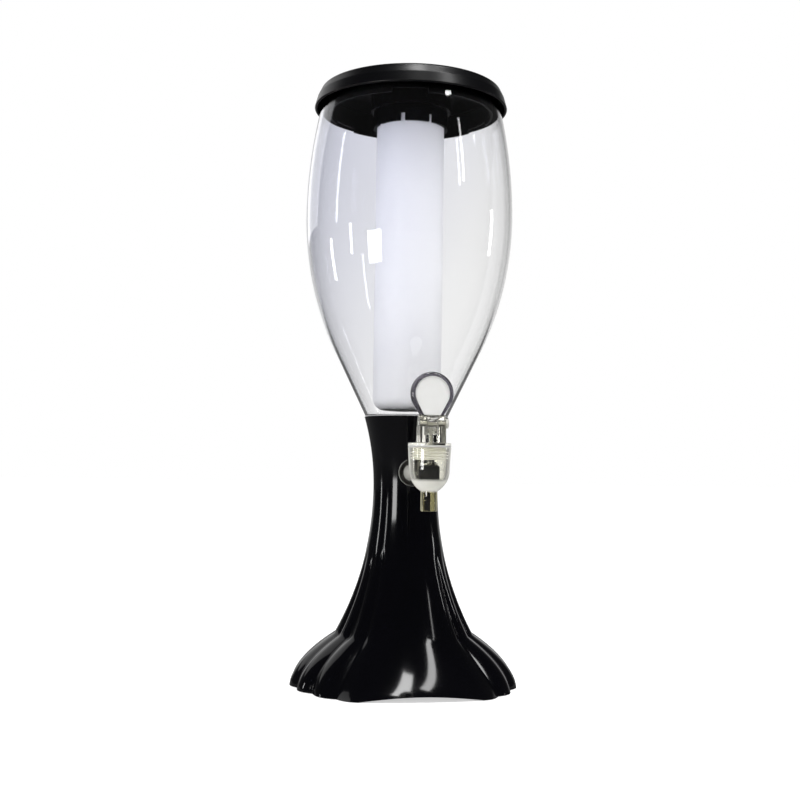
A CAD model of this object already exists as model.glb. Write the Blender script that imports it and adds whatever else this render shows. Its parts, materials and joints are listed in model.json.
import json
import math

import bmesh
import bpy
from mathutils import Matrix, Vector


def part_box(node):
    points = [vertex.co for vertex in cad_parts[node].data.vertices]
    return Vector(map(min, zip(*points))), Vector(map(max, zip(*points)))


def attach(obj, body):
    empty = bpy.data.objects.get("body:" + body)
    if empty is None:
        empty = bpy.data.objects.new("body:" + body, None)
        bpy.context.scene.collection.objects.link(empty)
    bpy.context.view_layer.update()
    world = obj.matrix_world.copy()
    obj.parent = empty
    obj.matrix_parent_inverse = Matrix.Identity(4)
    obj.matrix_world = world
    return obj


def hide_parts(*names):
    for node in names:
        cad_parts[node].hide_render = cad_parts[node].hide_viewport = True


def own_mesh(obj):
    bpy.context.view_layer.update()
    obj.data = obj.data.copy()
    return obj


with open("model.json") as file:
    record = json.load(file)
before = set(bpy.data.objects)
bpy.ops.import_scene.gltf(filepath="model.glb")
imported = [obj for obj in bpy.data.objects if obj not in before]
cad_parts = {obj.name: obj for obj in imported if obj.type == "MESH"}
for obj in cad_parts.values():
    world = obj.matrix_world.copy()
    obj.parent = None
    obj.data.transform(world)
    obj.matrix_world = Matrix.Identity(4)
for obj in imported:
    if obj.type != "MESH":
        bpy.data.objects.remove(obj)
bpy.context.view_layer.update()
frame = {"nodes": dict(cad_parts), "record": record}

# Tabletop drinks tower: black pedestal with draped toes, clear bowl, black lid, ice tube, clear tap.
# Lengths are named in millimetres; MM turns them into metres.
MM = 0.001

# ---- pedestal
WALL = 3.0
PAD_LIFT = 0.5
RIM = (36.8, 230.5)           # radius, height of the neck's top
WAIST = (28.0, 169.0)
KNUCKLE = (60.2, 44.0)        # crease where the skirt turns out into the toes
FOOT_R = 98.0
PANEL_POWER = 0.72            # hollow instep of the panels
TOE_POWER = 1.8               # full instep of the toes
PANEL_HALF = 34.0             # degrees
CORNER_OUT = 5.0              # the panels' lower corners reach this much further out
CORNER_FADE = 30.0            # degrees beyond the panel's edge where that has died away
TOE_PITCH = (180.0 - 2.0 * PANEL_HALF) / 6.0
SIDE_FADE = 1.6               # toes' widths over which a panel turns into a side
RIDGE_TOP_Z = 118.0
GROOVE_DEPTH = 4.2
SKIRT_GROOVE_DEPTH = 3.2
ARCH_HEIGHT = 4.0
ARCH_HALF = 50.0
POST_R = 7.5
POST_RADIUS = 76.0
POST_ANGLE = 52.0
POST_TOP = (82.5, 20.0, 69.5, 34.0)  # the post is cut off aslant through these (radius, height) pairs
PAD_HEIGHT = 3.0
FINE_TOP_Z = 14.0             # the foot's rows of faces lie closer together below this
ROW_STEPS = (1.4, 2.2, 3.0, 4.5)  # between rows on the foot, the toes, the ridges and the neck

# ---- bowl
BOWL_WALL = 2.6
BOWL_SHOULDER = (36.2, 231.7)
BOWL_CONE = (64.8, 290.0)
BOWL_WIDEST = (91.0, 407.0)
BOWL_RIM = (76.4, 517.0)
BOWL_RIM_ROUND = 1.3
SEAT_RING_FIT = 0.3
BOWL_PLUG_R = 32.2
BOWL_PLUG_Z = 227.5
STEM_R = 21.6
STEM_TOP_Z = 197.0
STEM_BOTTOM_Z = 150.0
STEM_BEND = 4.0
STEM_INSIDE_UP = 0.8          # the stem's inside bends out this much higher than its outside
ROUND_STEPS = 192             # flats round the bowl, the seat ring and the lid

# ---- lid
LID_WALL = 2.2
LID_ROOF_Z = 519.1
LID_TOP_Z = 521.3
LID_SHOULDER_R = 80.6
LID_SKIRT_R = 85.5
LID_SKIRT_Z = 503.5
LID_BREAK = (83.05, 513.3)     # the side leans out a little more below this
LID_EDGE_ROUND = 4.0
LID_CROWN = 4.6
PLUG_RING_R = 73.3
PLUG_RING_Z = 501.5
TAB_Z = 498.3
TAB_SPREAD = 96.0
TAB_OVERLAP = 3.0             # the tabs reach this far up into the plug ring
TAB_TURN = 79.0               # middle of the first tab, counted from +X
BOSS_IN = 33.03
BOSS_WALL = 2.2
BOSS_Z = 502.1

# ---- ice tube
TUBE_R = 29.8
TUBE_WALL = 2.0
TUBE_BOTTOM_Z = 237.0
TUBE_TOP_Z = 516.6
TUBE_ROUND = 10.0
BEAD = (31.0, 513.6)          # bead round the tube's mouth
TUBE_STEP = 20.0              # between rows of faces up the tube's side

# ---- tap
TAP_Y = -104.0
SHANK_Z = 182.4
SHANK_R = 7.8
SHANK_BORE = 5.0
SHANK_END_Y = -5.0
BORE_END = 8.0                # the shank's bore opens into the cup this far behind the tap's axis
OVERLAP = 1.0                 # how far shank, bore and gland run into what they meet
FLANGE_R = 11.6
FLANGE_Y = (-30.2, -32.8)     # its face on the washer, its front
CUP_RIM = (17.2, 202.4)
CUP_BEND = (16.1, 184.5)      # the side turns into the round bottom here
CUP_FOOT = (6.7, 167.6)       # the round bottom meets the spout here
CUP_WALL = 2.9
TAP_EDGE_ROUND = 0.5          # edge of the cup's rim and of the bonnet's flange
SEAT_Z = 175.8
SPOUT_BORE = 4.7
SPOUT_END_Z = 151.8
SPOUT_LIP_ROUND = 1.0
BONNET_Z = 203.2
BONNET_TOP_Z = 205.6
THREAD_R = 14.15
THREAD_DEPTH = 0.7
THREAD_PITCH = 2.2
THREAD_FORM = (0.6, 1.2, 1.6)  # heights in a turn where the root ends and where the crest begins and ends
THREAD_Z = 192.2
CHAMBER = (9.5, 201.5)        # radius, roof
TOWER_R = 10.5
TOWER_TOP_Z = 219.0
TOWER_FOOT = 0.6              # bevel at the tower's foot
TOWER_EDGE = 0.4              # bevel at the tower's top
PIN = (-110.9, 221.0)         # y, z
PIN_HOLE_R = 1.66
EAR_R = 6.0
SLOT_HALF = 4.3
SLOT_BACK_Y = -95.3
SLOT_FLOOR_Z = 211.8
STEM_BORE_R = 1.96
CUT_FRONT_Y = -140.0          # cutters run out to here in front, at the top and to both sides
CUT_TOP_Z = 240.0
CUT_SIDE = 20.0
GLAND = (3.6, 203.1)
SPRING_R = 5.0
SPRING_WIRE_R = 0.5
SPRING_TURNS = 4
SPRING_STEPS = 32             # sections in a turn
PADDLE_Z = 244.5
PADDLE_R = 17.2
PADDLE_TAPER = 25.0           # degrees below level where the round runs out into the taper
PADDLE_ROOT = (9.4, 227.3)    # half width, height
PADDLE_THICK = 7.0
PADDLE_RIM = 3.3              # width of the rim round the thinner middle
PADDLE_STEP = 1.5             # the middle lies this deep under the rim
PADDLE_ROUND = 2.6
ROOT_INSET = 0.9              # share of an inset by which the outline's foot moves in
WELL_OVER = 5.0               # the wells' cutters reach this far out of the paddle
FACE_FIT = 0.05               # gap between the frosted faces and the rim
FACE_THICK = 0.6
TONGUE_OVER = 0.1             # the tongue reaches this far up into the paddle


# ---- shapes

def flank(z, upright, end):
    """Radius at height z of an arc that stands upright at one (radius, height) and runs to the other."""
    reach = end[0] - upright[0]
    height = end[1] - upright[1]
    arc_r = (height ** 2 + reach ** 2) / (2.0 * abs(reach))
    sag = arc_r - math.sqrt(arc_r ** 2 - (z - upright[1]) ** 2)
    return upright[0] + math.copysign(sag, reach)


def heights(low, high, step):
    """Evenly spaced heights from low to high, both included."""
    count = max(1, round(abs(high - low) / step))
    return [low + (high - low) * i / count for i in range(count + 1)]


def quarter(centre, radius, start, end, count=6):
    """(radius, height) points on an arc about a centre, between two angles in degrees from outwards."""
    points = []
    for i in range(count + 1):
        turn = math.radians(start + (end - start) * i / count)
        points.append((centre[0] + radius * math.cos(turn), centre[1] + radius * math.sin(turn)))
    return points


def lathe(points, steps, closed=True, start=0.0, spread=360.0):
    """Bmesh of a profile of (radius, height) points in millimetres, turned about the tower's axis."""
    bm = bmesh.new()
    corners = [bm.verts.new((r * MM, 0.0, z * MM)) for r, z in points]
    edges = [bm.edges.new(pair) for pair in zip(corners, corners[1:])]
    if closed:
        edges.append(bm.edges.new((corners[-1], corners[0])))
    bmesh.ops.rotate(bm, verts=corners, cent=(0, 0, 0), matrix=Matrix.Rotation(math.radians(start), 3, "Z"))
    full = spread >= 360.0
    if not full:
        bmesh.ops.contextual_create(bm, geom=edges)
    bmesh.ops.spin(bm, geom=bm.verts[:] + bm.edges[:] + bm.faces[:], cent=(0, 0, 0), axis=(0, 0, 1),
                   dvec=(0, 0, 0), angle=math.radians(spread), steps=steps, use_merge=full,
                   use_duplicate=False)
    bmesh.ops.remove_doubles(bm, verts=bm.verts, dist=0.001 * MM)
    bmesh.ops.recalc_face_normals(bm, faces=bm.faces)
    return bm


def join(bm, other):
    """Adds the other bmesh's faces to the first."""
    carry = bpy.data.meshes.new("carry")
    other.to_mesh(carry)
    other.free()
    bm.from_mesh(carry)
    bpy.data.meshes.remove(carry)
    return bm


def rod(radius, start, end, segments=64):
    """Bmesh of a round bar between two points in millimetres."""
    bm = bmesh.new()
    way = Vector(end) - Vector(start)
    bmesh.ops.create_cone(bm, cap_ends=True, segments=segments, radius1=radius * MM, radius2=radius * MM,
                          depth=way.length * MM)
    turn = way.to_track_quat("Z", "Y").to_matrix().to_4x4()
    middle = Matrix.Translation((Vector(start) + Vector(end)) * 0.5 * MM)
    bmesh.ops.transform(bm, matrix=middle @ turn, verts=bm.verts)
    return bm


def block(x, y, z):
    """Bmesh of a box between pairs of limits in millimetres."""
    bm = bmesh.new()
    bmesh.ops.create_cube(bm, size=MM)
    bmesh.ops.scale(bm, vec=(x[1] - x[0], y[1] - y[0], z[1] - z[0]), verts=bm.verts)
    bmesh.ops.translate(bm, vec=Vector((x[0] + x[1], y[0] + y[1], z[0] + z[1])) * 0.5 * MM, verts=bm.verts)
    return bm


def worked(bm, added, cut):
    """The bmesh with others welded on, and then others cut out."""
    def solid(source):
        mesh = bpy.data.meshes.new("blank")
        source.to_mesh(mesh)
        source.free()
        made = bpy.data.objects.new("blank", mesh)
        bpy.context.scene.collection.objects.link(made)
        return made

    blanks = [solid(bm)]
    for others, operation in ((added, "UNION"), (cut, "DIFFERENCE")):
        for other in others:
            blanks.append(solid(other))
            step = blanks[0].modifiers.new(operation, "BOOLEAN")
            step.operation = operation
            step.solver = "EXACT"
            step.object = blanks[-1]
    bpy.context.view_layer.update()
    result = bpy.data.meshes.new_from_object(blanks[0].evaluated_get(bpy.context.evaluated_depsgraph_get()))
    out = bmesh.new()
    out.from_mesh(result)
    bpy.data.meshes.remove(result)
    for blank in blanks:
        mesh = blank.data
        bpy.data.objects.remove(blank)
        bpy.data.meshes.remove(mesh)
    bmesh.ops.remove_doubles(out, verts=out.verts, dist=0.001 * MM)
    return out


def piece(name, bm, body, slot, material, *nodes, sharp=40.0):
    """Makes the bmesh an object of the tower, with smooth shading up to the given edge angle."""
    mesh = bpy.data.meshes.new(name)
    bm.to_mesh(mesh)
    bm.free()
    mesh.polygons.foreach_set("use_smooth", [True] * len(mesh.polygons))
    mesh.set_sharp_from_angle(angle=math.radians(sharp))
    mesh.materials.append(material)
    made = bpy.data.objects.new(name, mesh)
    bpy.context.scene.collection.objects.link(made)
    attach(made, body)
    if nodes:
        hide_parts(*nodes)
    return made


# ---- finishes

BOWL_CAST = (-300.0, -130.0)  # the bowl's cast fades out as x - z / 2 rises from the first to the second
EDGE_VIEW = (0.25, 0.8)       # how far the view is edge on where the tap's milk begins and where it is full
SPOUT_TINT = (166.0, 168.0)   # olive below the first height, plain above the second
CUP_SIDE = (-84.0, -78.0)     # y where the cup's clarity levels begin to give way and where they have ended
CUP_CLARITY = ((150.0, 1.0), (166.5, 1.0), (168.5, 0.3), (175.0, 0.35),
               (177.5, 1.0), (201.0, 1.0), (203.0, 0.5))
BONNET_CLARITY = ((190.0, 0.1), (203.0, 0.1), (204.0, 1.0), (230.0, 1.0))


def colour(code):
    """sRGB hex colour as linear red, green, blue and full alpha."""
    parts = [int(code[i:i + 2], 16) / 255.0 for i in (1, 3, 5)]
    return tuple(c / 12.92 if c <= 0.04045 else ((c + 0.055) / 1.055) ** 2.4 for c in parts) + (1.0,)


def add(tree, kind, values=None, feeds=None, **settings):
    """Adds a node, sets its properties and sockets, and links what feeds it."""
    node = tree.nodes.new(kind)
    for name, value in settings.items():
        setattr(node, name, value)
    for socket, value in (values or {}).items():
        node.inputs[socket].default_value = value
    for socket, source in (feeds or {}).items():
        tree.links.new(source, node.inputs[socket])
    return node


def new_material(name):
    """Empty material tree with the object's own coordinates, for one finish."""
    material = bpy.data.materials.new(name)
    material.use_nodes = True
    tree = material.node_tree
    tree.nodes.clear()
    place = add(tree, "ShaderNodeTexCoord").outputs["Object"]
    return material, tree, place


def finish(tree, values, feeds):
    """Principled shader with constants on its sockets, patterns linked, and the output."""
    shader = add(tree, "ShaderNodeBsdfPrincipled", values, feeds)
    add(tree, "ShaderNodeOutputMaterial", feeds={"Surface": shader.outputs["BSDF"]})


def noise(tree, place, size_mm, detail=2.0, rough=0.5):
    """Cloudy pattern whose patches are about size_mm across."""
    return add(tree, "ShaderNodeTexNoise",
               {"Scale": 1.0 / (size_mm * MM), "Detail": detail, "Roughness": rough},
               {"Vector": place}).outputs["Fac"]


def stretch(tree, source, start, end, low=0.0, high=1.0):
    """Turns a value that runs from start to end into one that runs from low to high."""
    return add(tree, "ShaderNodeMapRange",
               {"From Min": start, "From Max": end, "To Min": low, "To Max": high},
               {"Value": source}).outputs["Result"]


def between(tree, factor, low, high):
    """Turns a 0 to 1 pattern into a value between two limits."""
    return stretch(tree, factor, 0.0, 1.0, low, high)


def blend(tree, factor, first, second):
    """Mixes two hex colours by a pattern."""
    mix = add(tree, "ShaderNodeMix", feeds={"Factor": factor}, data_type="RGBA")
    mix.inputs[6].default_value = colour(first)
    mix.inputs[7].default_value = colour(second)
    return mix.outputs[2]


def bump(tree, height, depth_mm, strength):
    """Small relief of the given depth."""
    return add(tree, "ShaderNodeBump", {"Strength": strength, "Distance": depth_mm * MM},
               {"Height": height}).outputs["Normal"]


def gloss_black():
    """High-gloss black ABS from a polished mould: deep black, sharp reflections, a trace of flow and dust."""
    material, tree, place = new_material("gloss_black_abs")
    haze = noise(tree, place, 30.0, 3.0)
    dust = noise(tree, place, 1.6, 4.0, 0.7)
    flow = noise(tree, place, 9.0, 1.0)
    tone = blend(tree, haze, "#020204", "#050508")
    gloss = between(tree, dust, 0.05, 0.12)
    skin = bump(tree, flow, 0.02, 0.12)
    finish(tree, {"IOR": 1.5, "Specular IOR Level": 0.3},
           {"Base Color": tone, "Roughness": gloss, "Normal": skin})
    return material


def satin_black():
    """The lid's black ABS from a satin mould: deep black, soft broad reflections."""
    material, tree, place = new_material("satin_black_abs")
    haze = noise(tree, place, 30.0, 3.0)
    grain = noise(tree, place, 1.2, 3.0)
    tone = blend(tree, haze, "#020204", "#050508")
    gloss = between(tree, grain, 0.26, 0.36)
    skin = bump(tree, grain, 0.01, 0.1)
    finish(tree, {"IOR": 1.5, "Specular IOR Level": 0.3},
           {"Base Color": tone, "Roughness": gloss, "Normal": skin})
    return material


def clear_bowl():
    """Clear styrene acrylonitrile, injection moulded: glassy, a cool lavender cast, faint moulding waves."""
    material, tree, place = new_material("clear_bowl_san")
    waves = noise(tree, place, 45.0, 1.0)
    film = noise(tree, place, 12.0, 3.0)
    across = add(tree, "ShaderNodeVectorMath", {1: (1.0, 0.0, -0.5)}, {0: place}, operation="DOT_PRODUCT")
    cast = stretch(tree, across.outputs["Value"], BOWL_CAST[0] * MM, BOWL_CAST[1] * MM)
    tone = blend(tree, cast, "#eeeff6", "#ffffff")
    gloss = between(tree, film, 0.01, 0.035)
    skin = bump(tree, waves, 0.25, 0.25)
    finish(tree, {"IOR": 1.5, "Transmission Weight": 1.0, "Specular IOR Level": 0.35},
           {"Base Color": tone, "Roughness": gloss, "Normal": skin})
    return material


def frosted_tube():
    """Milky polypropylene, moulded matt: soft white with a cool cast, light glows through it."""
    material, tree, place = new_material("frosted_polypropylene")
    cloud = noise(tree, place, 40.0, 2.0)
    grain = noise(tree, place, 0.9, 2.0)
    tone = blend(tree, cloud, "#eff0f5", "#f7f7fa")
    gloss = between(tree, grain, 0.3, 0.42)
    skin = bump(tree, grain, 0.03, 0.2)
    finish(tree, {"IOR": 1.49, "Transmission Weight": 0.2},
           {"Base Color": tone, "Roughness": gloss, "Normal": skin})
    return material


def clear_tap(name, clearest, milkiest, levels):
    """Clear styrene acrylonitrile of the tap: glassy square on, milky edge on and where it is thick.

    levels are (height in mm, clarity) pairs up the moulding.
    """
    material, tree, place = new_material(name)
    waves = noise(tree, place, 7.0, 1.0)
    smoke = noise(tree, place, 14.0, 2.0)
    clear_tone = blend(tree, smoke, "#ecebe0", "#f6f5f0")
    gloss = between(tree, smoke, 0.02, 0.05)
    skin = bump(tree, waves, 0.1, 0.3)
    edge = add(tree, "ShaderNodeLayerWeight", {"Blend": 0.5}).outputs["Facing"]
    clarity = stretch(tree, edge, EDGE_VIEW[0], EDGE_VIEW[1], clearest, milkiest)
    axes = add(tree, "ShaderNodeSeparateXYZ", feeds={0: place})
    low, high = levels[0][0], levels[-1][0]
    height = stretch(tree, axes.outputs["Z"], low * MM, high * MM)
    spout = stretch(tree, axes.outputs["Z"], SPOUT_TINT[0] * MM, SPOUT_TINT[1] * MM)
    tone = add(tree, "ShaderNodeMix", {6: colour("#bcb89c")}, {"Factor": spout, 7: clear_tone},
               data_type="RGBA").outputs[2]
    steps = add(tree, "ShaderNodeValToRGB", feeds={"Fac": height})
    steps.color_ramp.elements[0].position = 0.0
    steps.color_ramp.elements[1].position = 1.0
    for z, _ in levels[1:-1]:
        steps.color_ramp.elements.new((z - low) / (high - low))
    for mark, (_, level) in zip(steps.color_ramp.elements, levels):
        mark.color = (level, level, level, 1.0)
    off_cup = stretch(tree, axes.outputs["Y"], CUP_SIDE[0] * MM, CUP_SIDE[1] * MM)
    here = add(tree, "ShaderNodeMix", {3: 1.0}, {"Factor": off_cup, 2: steps.outputs["Color"]})
    share = add(tree, "ShaderNodeMath", feeds={0: clarity, 1: here.outputs[0]}, operation="MULTIPLY")
    finish(tree, {"IOR": 1.52},
           {"Base Color": tone, "Roughness": gloss, "Transmission Weight": share.outputs[0], "Normal": skin})
    return material


def smoky_rim():
    """The paddle's rim, where the clear moulding is thick: a smoky grey with a violet cast, glassy."""
    material, tree, place = new_material("smoky_rim_san")
    smoke = noise(tree, place, 5.0, 2.0)
    waves = noise(tree, place, 4.0, 1.0)
    tone = blend(tree, smoke, "#57535e", "#8b8890")
    gloss = between(tree, smoke, 0.05, 0.12)
    skin = bump(tree, waves, 0.1, 0.3)
    finish(tree, {"IOR": 1.5, "Transmission Weight": 0.8},
           {"Base Color": tone, "Roughness": gloss, "Normal": skin})
    return material


def frosted_face():
    """The paddle's middle, etched in the mould: a soft even white that lets light through."""
    material, tree, place = new_material("frosted_face_san")
    grain = noise(tree, place, 0.6, 2.0)
    cloud = noise(tree, place, 8.0, 1.0)
    tone = blend(tree, cloud, "#f3f3f0", "#f8f8f6")
    gloss = between(tree, grain, 0.3, 0.42)
    skin = bump(tree, grain, 0.02, 0.25)
    finish(tree, {"IOR": 1.5, "Transmission Weight": 0.25},
           {"Base Color": tone, "Roughness": gloss, "Normal": skin})
    return material


def black_rubber():
    """Moulded nitrile rubber: dull black with a fine tooth."""
    material, tree, place = new_material("nitrile_rubber")
    tooth = noise(tree, place, 0.7, 3.0)
    bloom = noise(tree, place, 6.0, 2.0)
    tone = blend(tree, bloom, "#070606", "#100f0e")
    gloss = between(tree, tooth, 0.55, 0.75)
    skin = bump(tree, tooth, 0.05, 0.4)
    finish(tree, {"IOR": 1.52}, {"Base Color": tone, "Roughness": gloss, "Normal": skin})
    return material


def clear_silicone():
    """Moulded silicone: milky, half clear, soft sheen."""
    material, tree, place = new_material("milky_silicone")
    cloud = noise(tree, place, 5.0, 2.0)
    tooth = noise(tree, place, 0.8, 2.0)
    tone = blend(tree, cloud, "#e9eaec", "#f6f6f7")
    gloss = between(tree, tooth, 0.3, 0.45)
    skin = bump(tree, tooth, 0.03, 0.3)
    finish(tree, {"IOR": 1.41, "Transmission Weight": 0.6},
           {"Base Color": tone, "Roughness": gloss, "Normal": skin})
    return material


def spring_steel():
    """Drawn stainless spring wire: bright metal with fine drawing lines."""
    material, tree, place = new_material("drawn_stainless_wire")
    lines = noise(tree, place, 0.5, 3.0)
    tone = blend(tree, lines, "#b9bbbe", "#d3d5d8")
    gloss = between(tree, lines, 0.2, 0.34)
    skin = bump(tree, lines, 0.01, 0.3)
    finish(tree, {"Metallic": 1.0}, {"Base Color": tone, "Roughness": gloss, "Normal": skin})
    return material


FINISHES = {
    "gloss_black_abs": gloss_black(),
    "clear_bowl": clear_bowl(),
    "frosted_plastic": frosted_tube(),
    "clear_tap_plastic": clear_tap("clear_tap_san", 1.0, 0.4, CUP_CLARITY),
    "black_rubber": black_rubber(),
    "clear_silicone": clear_silicone(),
    "steel": spring_steel(),
}
MILKY_BONNET = clear_tap("milky_bonnet_san", 1.0, 0.6, BONNET_CLARITY)
SATIN_LID = satin_black()
SMOKY_RIM = smoky_rim()
FROSTED_FACE = frosted_face()


# ---- pedestal

def side_share(angle):
    """0 on the front and rear panels, 1 at the sides; angle in degrees from the front."""
    off_panel = (min(angle % 180.0, 180.0 - angle % 180.0) - PANEL_HALF) / (TOE_PITCH * SIDE_FADE)
    share = max(0.0, min(1.0, off_panel))
    return share * share * (3.0 - 2.0 * share)


def corner(angle):
    """1 at the panels' corners, 0 in the panels' middle and along the sides."""
    from_middle = min(angle % 180.0, 180.0 - angle % 180.0)
    if from_middle <= PANEL_HALF:
        return (1.0 - math.cos(math.radians(from_middle))) / (1.0 - math.cos(math.radians(PANEL_HALF)))
    share = max(0.0, 1.0 - (from_middle - PANEL_HALF) / CORNER_FADE)
    return share * share * (3.0 - 2.0 * share)


def groove(angle):
    """0 on a ridge, 1 in the bottom of a groove, 0 on the panels."""
    from_edge = angle % 180.0 - PANEL_HALF
    if from_edge <= 0.0 or from_edge >= 180.0 - 2.0 * PANEL_HALF:
        return 0.0
    return 1.0 - abs(math.cos(math.pi * from_edge / TOE_PITCH))


def neck_radius(z):
    return flank(z, WAIST, RIM if z >= WAIST[1] else KNUCKLE)


def skirt_radius(angle, z):
    """Outer radius of neck, skirt and toes."""
    if z >= KNUCKLE[1]:
        fade = max(0.0, (RIDGE_TOP_Z - z) / (RIDGE_TOP_Z - KNUCKLE[1]))
        return neck_radius(z) - SKIRT_GROOVE_DEPTH * fade * groove(angle)
    height = max(z, 0.0) / KNUCKLE[1]
    power = PANEL_POWER + (TOE_POWER - PANEL_POWER) * side_share(angle)
    base = KNUCKLE[0] + (FOOT_R - KNUCKLE[0]) * (1.0 - height ** power)
    base += CORNER_OUT * (1.0 - height) * corner(angle)
    return base - (GROOVE_DEPTH + (SKIRT_GROOVE_DEPTH - GROOVE_DEPTH) * height) * groove(angle)


def arch(angle):
    """How high the foot's edge lies over the table under the panels, in millimetres."""
    across = abs(FOOT_R * math.sin(math.radians(angle)))
    if across >= ARCH_HALF:
        return 0.0
    arch_r = (ARCH_HALF ** 2 + ARCH_HEIGHT ** 2) / (2.0 * ARCH_HEIGHT)
    return math.sqrt(arch_r ** 2 - across ** 2) - arch_r + ARCH_HEIGHT


def make_pedestal():
    foot, toes, ridges, neck = ROW_STEPS
    levels = heights(PAD_LIFT, FINE_TOP_Z, foot)[:-1] + heights(FINE_TOP_Z, KNUCKLE[1], toes)[:-1]
    levels += heights(KNUCKLE[1], RIDGE_TOP_Z, ridges)[:-1] + heights(RIDGE_TOP_Z, RIM[1], neck)
    bm = lathe([(neck_radius(max(z, KNUCKLE[1])), z) for z in levels], 360, closed=False, start=0.5)
    for vert in bm.verts:
        angle = math.degrees(math.atan2(vert.co.x, -vert.co.y)) % 360.0
        z = vert.co.z / MM
        z += arch(angle) * max(0.0, 1.0 - z / KNUCKLE[1])
        radius = skirt_radius(angle, z)
        turn = math.radians(angle)
        vert.co = Vector((radius * math.sin(turn), -radius * math.cos(turn), z)) * MM
    bmesh.ops.recalc_face_normals(bm, faces=bm.faces)
    bmesh.ops.solidify(bm, geom=bm.faces[:], thickness=-WALL * MM)
    for vert in bm.verts:
        angle = math.degrees(math.atan2(vert.co.x, -vert.co.y)) % 360.0
        foot_z = PAD_LIFT + arch(angle) * (1.0 - PAD_LIFT / KNUCKLE[1])
        vert.co.z = min(max(vert.co.z, foot_z * MM), RIM[1] * MM)
    for angle in (POST_ANGLE, 180.0 - POST_ANGLE, 180.0 + POST_ANGLE, -POST_ANGLE):
        out_r, out_z, in_r, in_z = POST_TOP
        upright = rod(POST_R, (POST_RADIUS, 0.0, PAD_HEIGHT), (POST_RADIUS, 0.0, in_z + POST_R), 48)
        cut = bmesh.ops.bisect_plane(upright, geom=upright.verts[:] + upright.edges[:] + upright.faces[:],
                                     plane_co=Vector((out_r, 0.0, out_z)) * MM,
                                     plane_no=(in_z - out_z, 0.0, out_r - in_r), clear_outer=True)
        bmesh.ops.holes_fill(upright, edges=[e for e in cut["geom_cut"] if isinstance(e, bmesh.types.BMEdge)])
        bmesh.ops.rotate(upright, verts=upright.verts, cent=(0, 0, 0),
                         matrix=Matrix.Rotation(math.radians(angle - 90.0), 3, "Z"))
        join(bm, upright)
    return piece("pedestal", bm, "tower", "gloss_black_abs", FINISHES["gloss_black_abs"], "pedestal_shell")


# ---- bowl

def bowl_outline(inset, step):
    """(radius, height) up the side of the bowl, or of its inside."""
    points = []
    for share in (0.0, 0.03, 0.2, 0.4, 0.6, 0.8, 0.95):
        points.append((BOWL_SHOULDER[0] + share * (BOWL_CONE[0] - BOWL_SHOULDER[0]) - inset,
                       BOWL_SHOULDER[1] + share * (BOWL_CONE[1] - BOWL_SHOULDER[1])))
    lower = heights(BOWL_CONE[1], BOWL_WIDEST[1], step)
    upper = heights(BOWL_WIDEST[1], BOWL_RIM[1] - BOWL_RIM_ROUND, step)[1:]
    points += [(flank(z, BOWL_WIDEST, BOWL_CONE) - inset, z) for z in lower]
    points += [(flank(z, BOWL_WIDEST, BOWL_RIM) - inset, z) for z in upper]
    return points


def make_bowl():
    outside = bowl_outline(0.0, 3.0)
    inside = bowl_outline(BOWL_WALL, 3.0)
    rim_centre = (BOWL_RIM[0] - BOWL_RIM_ROUND, BOWL_RIM[1] - BOWL_RIM_ROUND)
    rim = quarter(rim_centre, BOWL_RIM_ROUND, 0.0, 180.0, 8)[1:-1]
    stem_in = STEM_R - BOWL_WALL
    floor_in = STEM_BOTTOM_Z + BOWL_WALL
    below = [(0.0, STEM_BOTTOM_Z)]
    below += quarter((STEM_R - STEM_BEND, STEM_BOTTOM_Z + STEM_BEND), STEM_BEND, -90.0, 0.0)
    below += [(STEM_R, STEM_TOP_Z), (BOWL_PLUG_R, BOWL_PLUG_Z), (BOWL_PLUG_R, BOWL_SHOULDER[1])]
    back = [(BOWL_PLUG_R - BOWL_WALL, BOWL_PLUG_Z), (stem_in, STEM_TOP_Z + STEM_INSIDE_UP)]
    back += quarter((stem_in - STEM_BEND, floor_in + STEM_BEND), STEM_BEND, 0.0, -90.0) + [(0.0, floor_in)]
    bm = lathe(below + outside + rim + inside[::-1] + back, ROUND_STEPS)
    return piece("bowl_clear", bm, "tower", "clear_bowl", FINISHES["clear_bowl"], "bowl", sharp=30.0)


def make_seat_ring():
    """Clear soft ring between the bowl's shoulder and the neck's rim."""
    low, high = RIM[1], BOWL_SHOULDER[1]
    inner, outer = BOWL_PLUG_R + SEAT_RING_FIT, BOWL_SHOULDER[0]
    bm = lathe([(outer, low), (outer, high), (inner, high), (inner, low)], ROUND_STEPS)
    return piece("seat_ring", bm, "tower", "black_rubber", FINISHES["clear_silicone"], "bowl_seat_ring",
                 sharp=30.0)


# ---- lid and ice tube

def between_points(start, end, share):
    """The point at a share of the way between two (radius, height) pairs."""
    return (start[0] + share * (end[0] - start[0]), start[1] + share * (end[1] - start[1]))


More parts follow.
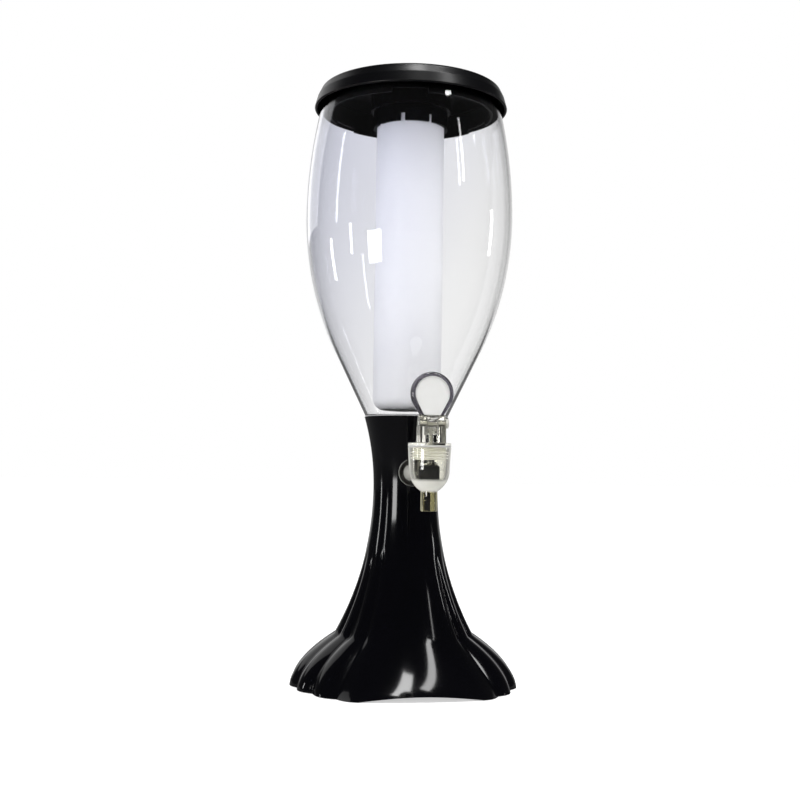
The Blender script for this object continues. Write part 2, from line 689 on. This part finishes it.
def make_lid():
    ring_in = PLUG_RING_R - LID_WALL
    edge_r = LID_SHOULDER_R - LID_EDGE_ROUND
    hem_r = 0.5 * LID_WALL
    crown = []
    for tenth in range(10):
        crown.append((edge_r * tenth / 10.0, LID_TOP_Z + LID_CROWN * (1.0 - (tenth / 10.0) ** 2)))
    edge = quarter((edge_r, LID_TOP_Z - LID_EDGE_ROUND), LID_EDGE_ROUND, 90.0, 15.0, 8)
    edge += [between_points(edge[-1], LID_BREAK, share) for share in (0.1, 0.5, 0.9)] + [LID_BREAK]
    foot = (LID_SKIRT_R, LID_SKIRT_Z + hem_r)
    edge += [between_points(LID_BREAK, foot, share) for share in (0.1, 0.5, 0.9)]
    hem = quarter((LID_SKIRT_R - hem_r, LID_SKIRT_Z + hem_r), hem_r, 0.0, -180.0, 6)
    inner = [(LID_SHOULDER_R - LID_WALL, LID_ROOF_Z), (PLUG_RING_R, LID_ROOF_Z)]
    ring = quarter((PLUG_RING_R - hem_r, PLUG_RING_Z + hem_r), hem_r, 0.0, -180.0, 6)
    ring += [(ring_in, LID_ROOF_Z)]
    boss_out = BOSS_IN + BOSS_WALL
    boss = [(boss_out, LID_ROOF_Z), (boss_out, BOSS_Z), (BOSS_IN, BOSS_Z), (BOSS_IN, LID_ROOF_Z)]
    boss += [(0.0, LID_ROOF_Z)]
    bm = lathe(crown + edge + hem + inner + ring + boss, ROUND_STEPS)
    tab_top = PLUG_RING_Z + TAB_OVERLAP
    for tab in range(3):
        start = TAB_TURN + 120.0 * tab - 0.5 * TAB_SPREAD
        outline = [(PLUG_RING_R, tab_top), (PLUG_RING_R, TAB_Z), (ring_in, TAB_Z), (ring_in, tab_top)]
        join(bm, lathe(outline, 48, start=start, spread=TAB_SPREAD))
    return piece("lid", bm, "lid", "gloss_black_abs", SATIN_LID, "lid_cap", sharp=30.0)


def make_ice_tube():
    tube_in = TUBE_R - TUBE_WALL
    floor_z = TUBE_BOTTOM_Z + TUBE_WALL
    outer = quarter((TUBE_R - TUBE_ROUND, TUBE_BOTTOM_Z + TUBE_ROUND), TUBE_ROUND, -90.0, 0.0, 10)
    inner_round = TUBE_ROUND - TUBE_WALL
    inner = quarter((tube_in - inner_round, floor_z + inner_round), inner_round, 0.0, -90.0, 10)
    side = [(TUBE_R, z) for z in heights(TUBE_BOTTOM_Z + TUBE_STEP, BEAD[1], TUBE_STEP)]
    mouth = [BEAD, (BEAD[0], TUBE_TOP_Z), (tube_in, TUBE_TOP_Z)]
    wall = [(tube_in, z) for z in heights(TUBE_TOP_Z - TUBE_STEP, floor_z + TUBE_STEP, TUBE_STEP)]
    bm = lathe([(0.0, TUBE_BOTTOM_Z)] + outer + side + mouth + wall + inner + [(0.0, floor_z)], 128)
    return piece("ice_tube_frosted", bm, "ice_tube", "frosted_plastic", FINISHES["frosted_plastic"],
                 "ice_tube")


# ---- tap

def at_tap(bm):
    """Moves a piece that is turned round the tower's axis out to the tap's axis."""
    bmesh.ops.translate(bm, verts=bm.verts, vec=(0.0, TAP_Y * MM, 0.0))
    return bm


def cup_bottom(inset, end_z, count):
    """(radius, height) down the round bottom of the cup, or of its inside."""
    fall = CUP_BEND[1] - CUP_FOOT[1]
    reach = CUP_BEND[0] - CUP_FOOT[0]
    arc_r = (fall ** 2 + reach ** 2) / (2.0 * reach)
    points = []
    for i in range(count + 1):
        drop = (CUP_BEND[1] - end_z) * i / count
        points.append((CUP_BEND[0] - arc_r + math.sqrt((arc_r - inset) ** 2 - drop ** 2), CUP_BEND[1] - drop))
    return points


def make_tap_body():
    """Cup, spout, shank and flange in one clear moulding."""
    lip_centre = (SPOUT_BORE + SPOUT_LIP_ROUND, SPOUT_END_Z + SPOUT_LIP_ROUND)
    lip = quarter(lip_centre, SPOUT_LIP_ROUND, 0.0, -180.0, 8)
    rim_centre = (CUP_RIM[0] - TAP_EDGE_ROUND, CUP_RIM[1] - TAP_EDGE_ROUND)
    rim = [(CUP_RIM[0] - CUP_WALL, CUP_RIM[1])] + quarter(rim_centre, TAP_EDGE_ROUND, 90.0, 0.0, 4)
    inside = [(SPOUT_BORE, SEAT_Z)] + cup_bottom(CUP_WALL, SEAT_Z, 10)[::-1]
    cup = at_tap(lathe(rim + cup_bottom(0.0, CUP_FOOT[1], 16) + lip + inside, 96))
    shank = rod(SHANK_R, (0.0, SHANK_END_Y, SHANK_Z), (0.0, TAP_Y + CUP_BEND[0] - OVERLAP, SHANK_Z))
    thick = abs(FLANGE_Y[1] - FLANGE_Y[0])
    flange = rod(FLANGE_R, (0.0, FLANGE_Y[0], SHANK_Z), (0.0, FLANGE_Y[1], SHANK_Z), 96)
    front = [e for e in flange.edges if all(abs(v.co.y - FLANGE_Y[1] * MM) < 0.01 * MM for v in e.verts)]
    bmesh.ops.bevel(flange, geom=front, offset=thick * 0.3 * MM, offset_type="OFFSET", segments=4,
                    profile=0.5, affect="EDGES", material=-1)
    bore = rod(SHANK_BORE, (0.0, SHANK_END_Y + OVERLAP, SHANK_Z), (0.0, TAP_Y + BORE_END, SHANK_Z))
    bm = worked(cup, [shank, flange], [bore])
    return piece("tap_cup_clear", bm, "tower", "clear_tap_plastic", FINISHES["clear_tap_plastic"],
                 "tap_body", sharp=30.0)


def make_bonnet():
    """Screw-in bonnet: threaded plug, flange, tower and the two ears that carry the pin."""
    thread = []
    root_r = THREAD_R - THREAD_DEPTH
    root_end, crest_start, crest_end = THREAD_FORM
    turns = int((BONNET_Z - THREAD_Z) / THREAD_PITCH)
    for turn in range(turns):
        z = THREAD_Z + turn * THREAD_PITCH
        thread += [(root_r, z), (root_r, z + root_end)]
        thread += [(THREAD_R, z + crest_start), (THREAD_R, z + crest_end)]
    flange = [(root_r, BONNET_Z), (CUP_RIM[0], BONNET_Z)]
    edge_centre = (CUP_RIM[0] - TAP_EDGE_ROUND, BONNET_TOP_Z - TAP_EDGE_ROUND)
    flange += quarter(edge_centre, TAP_EDGE_ROUND, 0.0, 90.0, 4)
    tower = [(TOWER_R + TOWER_FOOT, BONNET_TOP_Z), (TOWER_R, BONNET_TOP_Z + TOWER_FOOT),
             (TOWER_R, TOWER_TOP_Z - TOWER_EDGE), (TOWER_R - TOWER_EDGE, TOWER_TOP_Z),
             (0.0, TOWER_TOP_Z), (0.0, CHAMBER[1]), CHAMBER, (CHAMBER[0], THREAD_Z)]
    bm = at_tap(lathe(thread + flange + tower, 96))
    ear_block = block((-TOWER_R, TOWER_R), (PIN[0] - EAR_R, PIN[0] + EAR_R),
                      (BONNET_TOP_Z - TAP_EDGE_ROUND, PIN[1]))
    ears = worked(ear_block, [rod(EAR_R, (-TOWER_R, PIN[0], PIN[1]), (TOWER_R, PIN[0], PIN[1]))], [])
    slot = block((-SLOT_HALF, SLOT_HALF), (CUT_FRONT_Y, SLOT_BACK_Y), (SLOT_FLOOR_Z, CUT_TOP_Z))
    stem_bore = rod(STEM_BORE_R, (0.0, TAP_Y, THREAD_Z), (0.0, TAP_Y, CUT_TOP_Z), 32)
    gland = rod(GLAND[0], (0.0, TAP_Y, CHAMBER[1] - OVERLAP), (0.0, TAP_Y, GLAND[1]), 48)
    pin_hole = rod(PIN_HOLE_R, (-CUT_SIDE, PIN[0], PIN[1]), (CUT_SIDE, PIN[0], PIN[1]), 32)
    bm = worked(bm, [ears], [slot, stem_bore, gland, pin_hole])
    return piece("tap_bonnet_clear", bm, "tower", "clear_tap_plastic", MILKY_BONNET, "tap_bonnet",
                 sharp=30.0)


def paddle_plate(inset, near, far, root_z=PADDLE_ROOT[1]):
    """Bmesh of a plate inset mm inside the paddle's outline, between two distances in front of the pin."""
    bm = bmesh.new()
    radius = PADDLE_R - inset
    points = []
    for i in range(65):
        turn = math.radians(-PADDLE_TAPER + (180.0 + 2.0 * PADDLE_TAPER) * i / 64)
        points.append((radius * math.cos(turn), PADDLE_Z + radius * math.sin(turn)))
    half = PADDLE_ROOT[0] - inset * ROOT_INSET
    points += [(-half, root_z), (half, root_z)]
    corners = [bm.verts.new((x * MM, (PIN[0] - near) * MM, z * MM)) for x, z in points]
    face = bm.faces.new(corners)
    pushed = bmesh.ops.extrude_face_region(bm, geom=[face])
    moved = [v for v in pushed["geom"] if isinstance(v, bmesh.types.BMVert)]
    bmesh.ops.translate(bm, verts=moved, vec=(0.0, (near - far) * MM, 0.0))
    bmesh.ops.recalc_face_normals(bm, faces=bm.faces)
    return bm


def rounded_plate(bm, radius):
    """Rounds the long edges of a plate on both faces."""
    flat = [e for e in bm.edges if abs(e.verts[0].co.y - e.verts[1].co.y) < 0.01 * MM]
    bmesh.ops.bevel(bm, geom=flat, offset=radius * MM, offset_type="OFFSET", segments=5,
                    profile=0.5, affect="EDGES", material=-1)
    return bm


def make_handle():
    """Paddle with a rounded smoky rim round thinner frosted faces, and the tongue that works the stem."""
    half = 0.5 * PADDLE_THICK
    blade = rounded_plate(paddle_plate(0.0, -half, half), PADDLE_ROUND)
    below = PADDLE_ROOT[1] - WELL_OVER
    wells = [paddle_plate(PADDLE_RIM, half - PADDLE_STEP, half + WELL_OVER, below),
             paddle_plate(PADDLE_RIM, -half - WELL_OVER, PADDLE_STEP - half, below)]
    tongue = bmesh.new()
    whole = bpy.data.objects["tap_handle"]
    tongue.from_mesh(whole.data)
    bmesh.ops.transform(tongue, matrix=whole.matrix_world, verts=tongue.verts)
    bmesh.ops.remove_doubles(tongue, verts=tongue.verts, dist=0.001 * MM)
    cut = bmesh.ops.bisect_plane(tongue, geom=tongue.verts[:] + tongue.edges[:] + tongue.faces[:],
                                 plane_co=(0.0, 0.0, (PADDLE_ROOT[1] + TONGUE_OVER) * MM),
                                 plane_no=(0.0, 0.0, 1.0), clear_outer=True)
    bmesh.ops.holes_fill(tongue, edges=[e for e in cut["geom_cut"] if isinstance(e, bmesh.types.BMEdge)])
    piece("tap_tongue", tongue, "handle", "clear_tap_plastic", MILKY_BONNET, "tap_handle", sharp=35.0)
    piece("tap_paddle_rim", worked(blade, [], wells), "handle", "clear_tap_plastic", SMOKY_RIM, sharp=35.0)
    inset = PADDLE_RIM + FACE_FIT
    faces = paddle_plate(inset, half - PADDLE_STEP, half - PADDLE_STEP + FACE_THICK)
    join(faces, paddle_plate(inset, PADDLE_STEP - half - FACE_THICK, PADDLE_STEP - half))
    return piece("tap_paddle_faces", faces, "handle", "clear_tap_plastic", FROSTED_FACE, sharp=35.0)


def make_spring():
    """Coil of round wire between the stem's plate and the bonnet's roof, shortened as the stem rises."""
    low, high = (end[2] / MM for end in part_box("stem_spring"))
    steps = SPRING_TURNS * SPRING_STEPS
    rise = (high - low - 2.0 * SPRING_WIRE_R) / steps
    bm = bmesh.new()
    wire = bmesh.ops.create_circle(bm, cap_ends=False, segments=12, radius=SPRING_WIRE_R * MM)["verts"]
    bmesh.ops.rotate(bm, verts=wire, cent=(0, 0, 0), matrix=Matrix.Rotation(math.radians(90.0), 3, "X"))
    bmesh.ops.translate(bm, verts=wire, vec=Vector((SPRING_R, 0.0, low + SPRING_WIRE_R)) * MM)
    bmesh.ops.spin(bm, geom=bm.verts[:] + bm.edges[:], cent=(0, 0, 0), axis=(0, 0, 1), dvec=(0, 0, rise * MM),
                   angle=math.radians(360.0 * SPRING_TURNS), steps=steps, use_duplicate=False)
    bmesh.ops.holes_fill(bm, edges=[e for e in bm.edges if e.is_boundary])
    bmesh.ops.recalc_face_normals(bm, faces=bm.faces)
    coil = piece("stem_spring_coil", at_tap(bm), "stem", "steel", FINISHES["steel"], "stem_spring")
    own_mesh(coil)
    return coil


make_pedestal()
make_bowl()
make_seat_ring()
make_lid()
make_ice_tube()
make_tap_body()
make_bonnet()
make_handle()
make_spring()

for part in frame["record"]["subparts"]:
    solid = frame["nodes"][part["node"]]
    solid.data.materials.clear()
    solid.data.materials.append(FINISHES[part["material_slot"]])


# ---- camera, lights, floor

ROOM_LIGHT = 0.7              # even light of the room on the surfaces
ROOM_GLOSS = 0.04             # how bright the room is in reflections
INNER_LIGHT = 2.7             # even light of the room inside clear plastic
BACKDROP = (0.72, 0.95, 0.8)  # reflections of the pale backdrop: where they begin and are full, how bright
FLOOR_LIFT = 0.55             # brings the far floor up to the background's white, to the eye alone
VIEW_TURN = -10.0             # degrees from the front, towards -X
CAMERA_PLACE = (-0.18895, -1.03748, 0.1789)
CAMERA_PITCH = 3.64
CAMERA_ROLL = 0.84
CAMERA_LENS = 54.1            # mm
SENSOR_WIDTH = 36.0           # mm
LAMP_AIM = (0.0, 0.0, 0.26)   # every lamp faces this point, in metres


def place_camera():
    data = bpy.data.cameras.new("camera")
    data.lens = CAMERA_LENS
    data.sensor_width = SENSOR_WIDTH
    data.clip_end = 100.0
    camera = bpy.data.objects.new("camera", data)
    bpy.context.scene.collection.objects.link(camera)
    turn = Matrix.Rotation(math.radians(VIEW_TURN), 4, "Z")
    tilt = Matrix.Rotation(math.radians(90.0 + CAMERA_PITCH), 4, "X")
    roll = Matrix.Rotation(math.radians(CAMERA_ROLL), 4, "Z")
    camera.matrix_world = Matrix.Translation(CAMERA_PLACE) @ turn @ tilt @ roll
    bpy.context.scene.camera = camera


def softbox(name, aside, up, distance, width, height, power):
    """Rectangular white lamp, aside degrees right of the camera and up degrees over the horizon."""
    data = bpy.data.lights.new(name, "AREA")
    data.shape = "RECTANGLE"
    data.size = width
    data.size_y = height
    data.energy = power
    lamp = bpy.data.objects.new(name, data)
    bpy.context.scene.collection.objects.link(lamp)
    side = math.radians(VIEW_TURN + aside)
    rise = math.radians(up)
    way = Vector((math.sin(side) * math.cos(rise), -math.cos(side) * math.cos(rise), math.sin(rise)))
    facing = way.to_track_quat("Z", "Y").to_matrix().to_4x4()
    lamp.matrix_world = Matrix.Translation(Vector(LAMP_AIM) + way * distance) @ facing


def straight_sight(tree, path):
    """1 for what the eye sees, straight or through clear plastic, and 0 for light and for reflections."""
    plain = add(tree, "ShaderNodeMath", {1: 0.5}, {0: path.outputs["Glossy Depth"]}, operation="LESS_THAN")
    clear = add(tree, "ShaderNodeMath", feeds={0: path.outputs["Is Transmission Ray"], 1: plain.outputs[0]},
                operation="MULTIPLY")
    seen = add(tree, "ShaderNodeMath", feeds={0: path.outputs["Is Camera Ray"], 1: clear.outputs[0]},
               operation="MAXIMUM")
    return seen.outputs[0]


def make_world():
    """White to the eye, dimmer in gloss, an even light on the surfaces and more inside clear plastic."""
    world = bpy.data.worlds.new("studio")
    bpy.context.scene.world = world
    world.use_nodes = True
    tree = world.node_tree
    tree.nodes.clear()
    path = add(tree, "ShaderNodeLightPath")
    turn = math.radians(VIEW_TURN)
    way = add(tree, "ShaderNodeTexCoord")
    ahead = add(tree, "ShaderNodeVectorMath", {1: (-math.sin(turn), math.cos(turn), 0.0)},
                {0: way.outputs["Generated"]}, operation="DOT_PRODUCT")
    backdrop = stretch(tree, ahead.outputs["Value"], BACKDROP[0], BACKDROP[1], ROOM_GLOSS, BACKDROP[2])
    glossy = add(tree, "ShaderNodeMix", {2: ROOM_LIGHT},
                 {"Factor": path.outputs["Is Glossy Ray"], 3: backdrop})
    inner = add(tree, "ShaderNodeMath", {1: 0.5}, {0: path.outputs["Diffuse Depth"]},
                operation="GREATER_THAN")
    white = add(tree, "ShaderNodeMix", {2: 1.0, 3: INNER_LIGHT}, {"Factor": inner.outputs[0]})
    seen = straight_sight(tree, path)
    level = add(tree, "ShaderNodeMix",
                feeds={"Factor": seen, 2: glossy.outputs[0], 3: white.outputs[0]})
    sky = add(tree, "ShaderNodeBackground", {"Color": (1.0, 1.0, 1.0, 1.0)}, {"Strength": level.outputs[0]})
    add(tree, "ShaderNodeOutputWorld", feeds={"Surface": sky.outputs[0]})


def make_floor():
    """Pale floor that reads white to the eye and keeps the tower's shadow."""
    bm = bmesh.new()
    bmesh.ops.create_grid(bm, x_segments=1, y_segments=1, size=30.0)
    mesh = bpy.data.meshes.new("floor")
    bm.to_mesh(mesh)
    bm.free()
    floor = bpy.data.objects.new("floor", mesh)
    bpy.context.scene.collection.objects.link(floor)
    material = bpy.data.materials.new("pale_floor")
    material.use_nodes = True
    tree = material.node_tree
    tree.nodes.clear()
    path = add(tree, "ShaderNodeLightPath")
    seen = straight_sight(tree, path)
    lift = add(tree, "ShaderNodeMath", {1: FLOOR_LIFT}, {0: seen}, operation="MULTIPLY")
    mirrored = add(tree, "ShaderNodeMath", feeds={0: path.outputs["Is Glossy Ray"], 1: seen},
                   operation="SUBTRACT", use_clamp=True)
    glow = add(tree, "ShaderNodeEmission", feeds={"Strength": lift.outputs[0]})
    matt = add(tree, "ShaderNodeBsdfDiffuse", {"Color": colour("#dedede")})
    both = add(tree, "ShaderNodeAddShader", feeds={0: glow.outputs[0], 1: matt.outputs[0]})
    dark = add(tree, "ShaderNodeBsdfDiffuse", {"Color": colour("#6b6b6b")})
    shown = add(tree, "ShaderNodeMixShader",
                feeds={0: mirrored.outputs[0], 1: both.outputs[0], 2: dark.outputs[0]})
    add(tree, "ShaderNodeOutputMaterial", feeds={"Surface": shown.outputs[0]})
    mesh.materials.append(material)


bpy.context.scene.view_settings.view_transform = "Standard"
place_camera()
make_world()
make_floor()
softbox("left_window", -38.0, -1.0, 1.6, 0.42, 0.34, 7.0)
softbox("right_softbox", 52.0, 56.0, 3.0, 0.34, 1.5, 24.0)
softbox("top_softbox", 15.0, 73.0, 2.5, 0.36, 1.0, 24.0)
softbox("left_strip", -66.0, 4.0, 1.6, 0.06, 0.3, 0.9)
softbox("far_left_strip", -95.0, 1.0, 1.6, 0.07, 0.35, 1.1)
softbox("right_strip", 60.0, 30.0, 1.6, 0.05, 0.45, 0.6)
softbox("far_right_strip", 100.0, 10.0, 1.6, 0.07, 0.35, 1.1)
softbox("left_sheet", -138.0, 34.0, 2.0, 1.3, 1.6, 5.0)
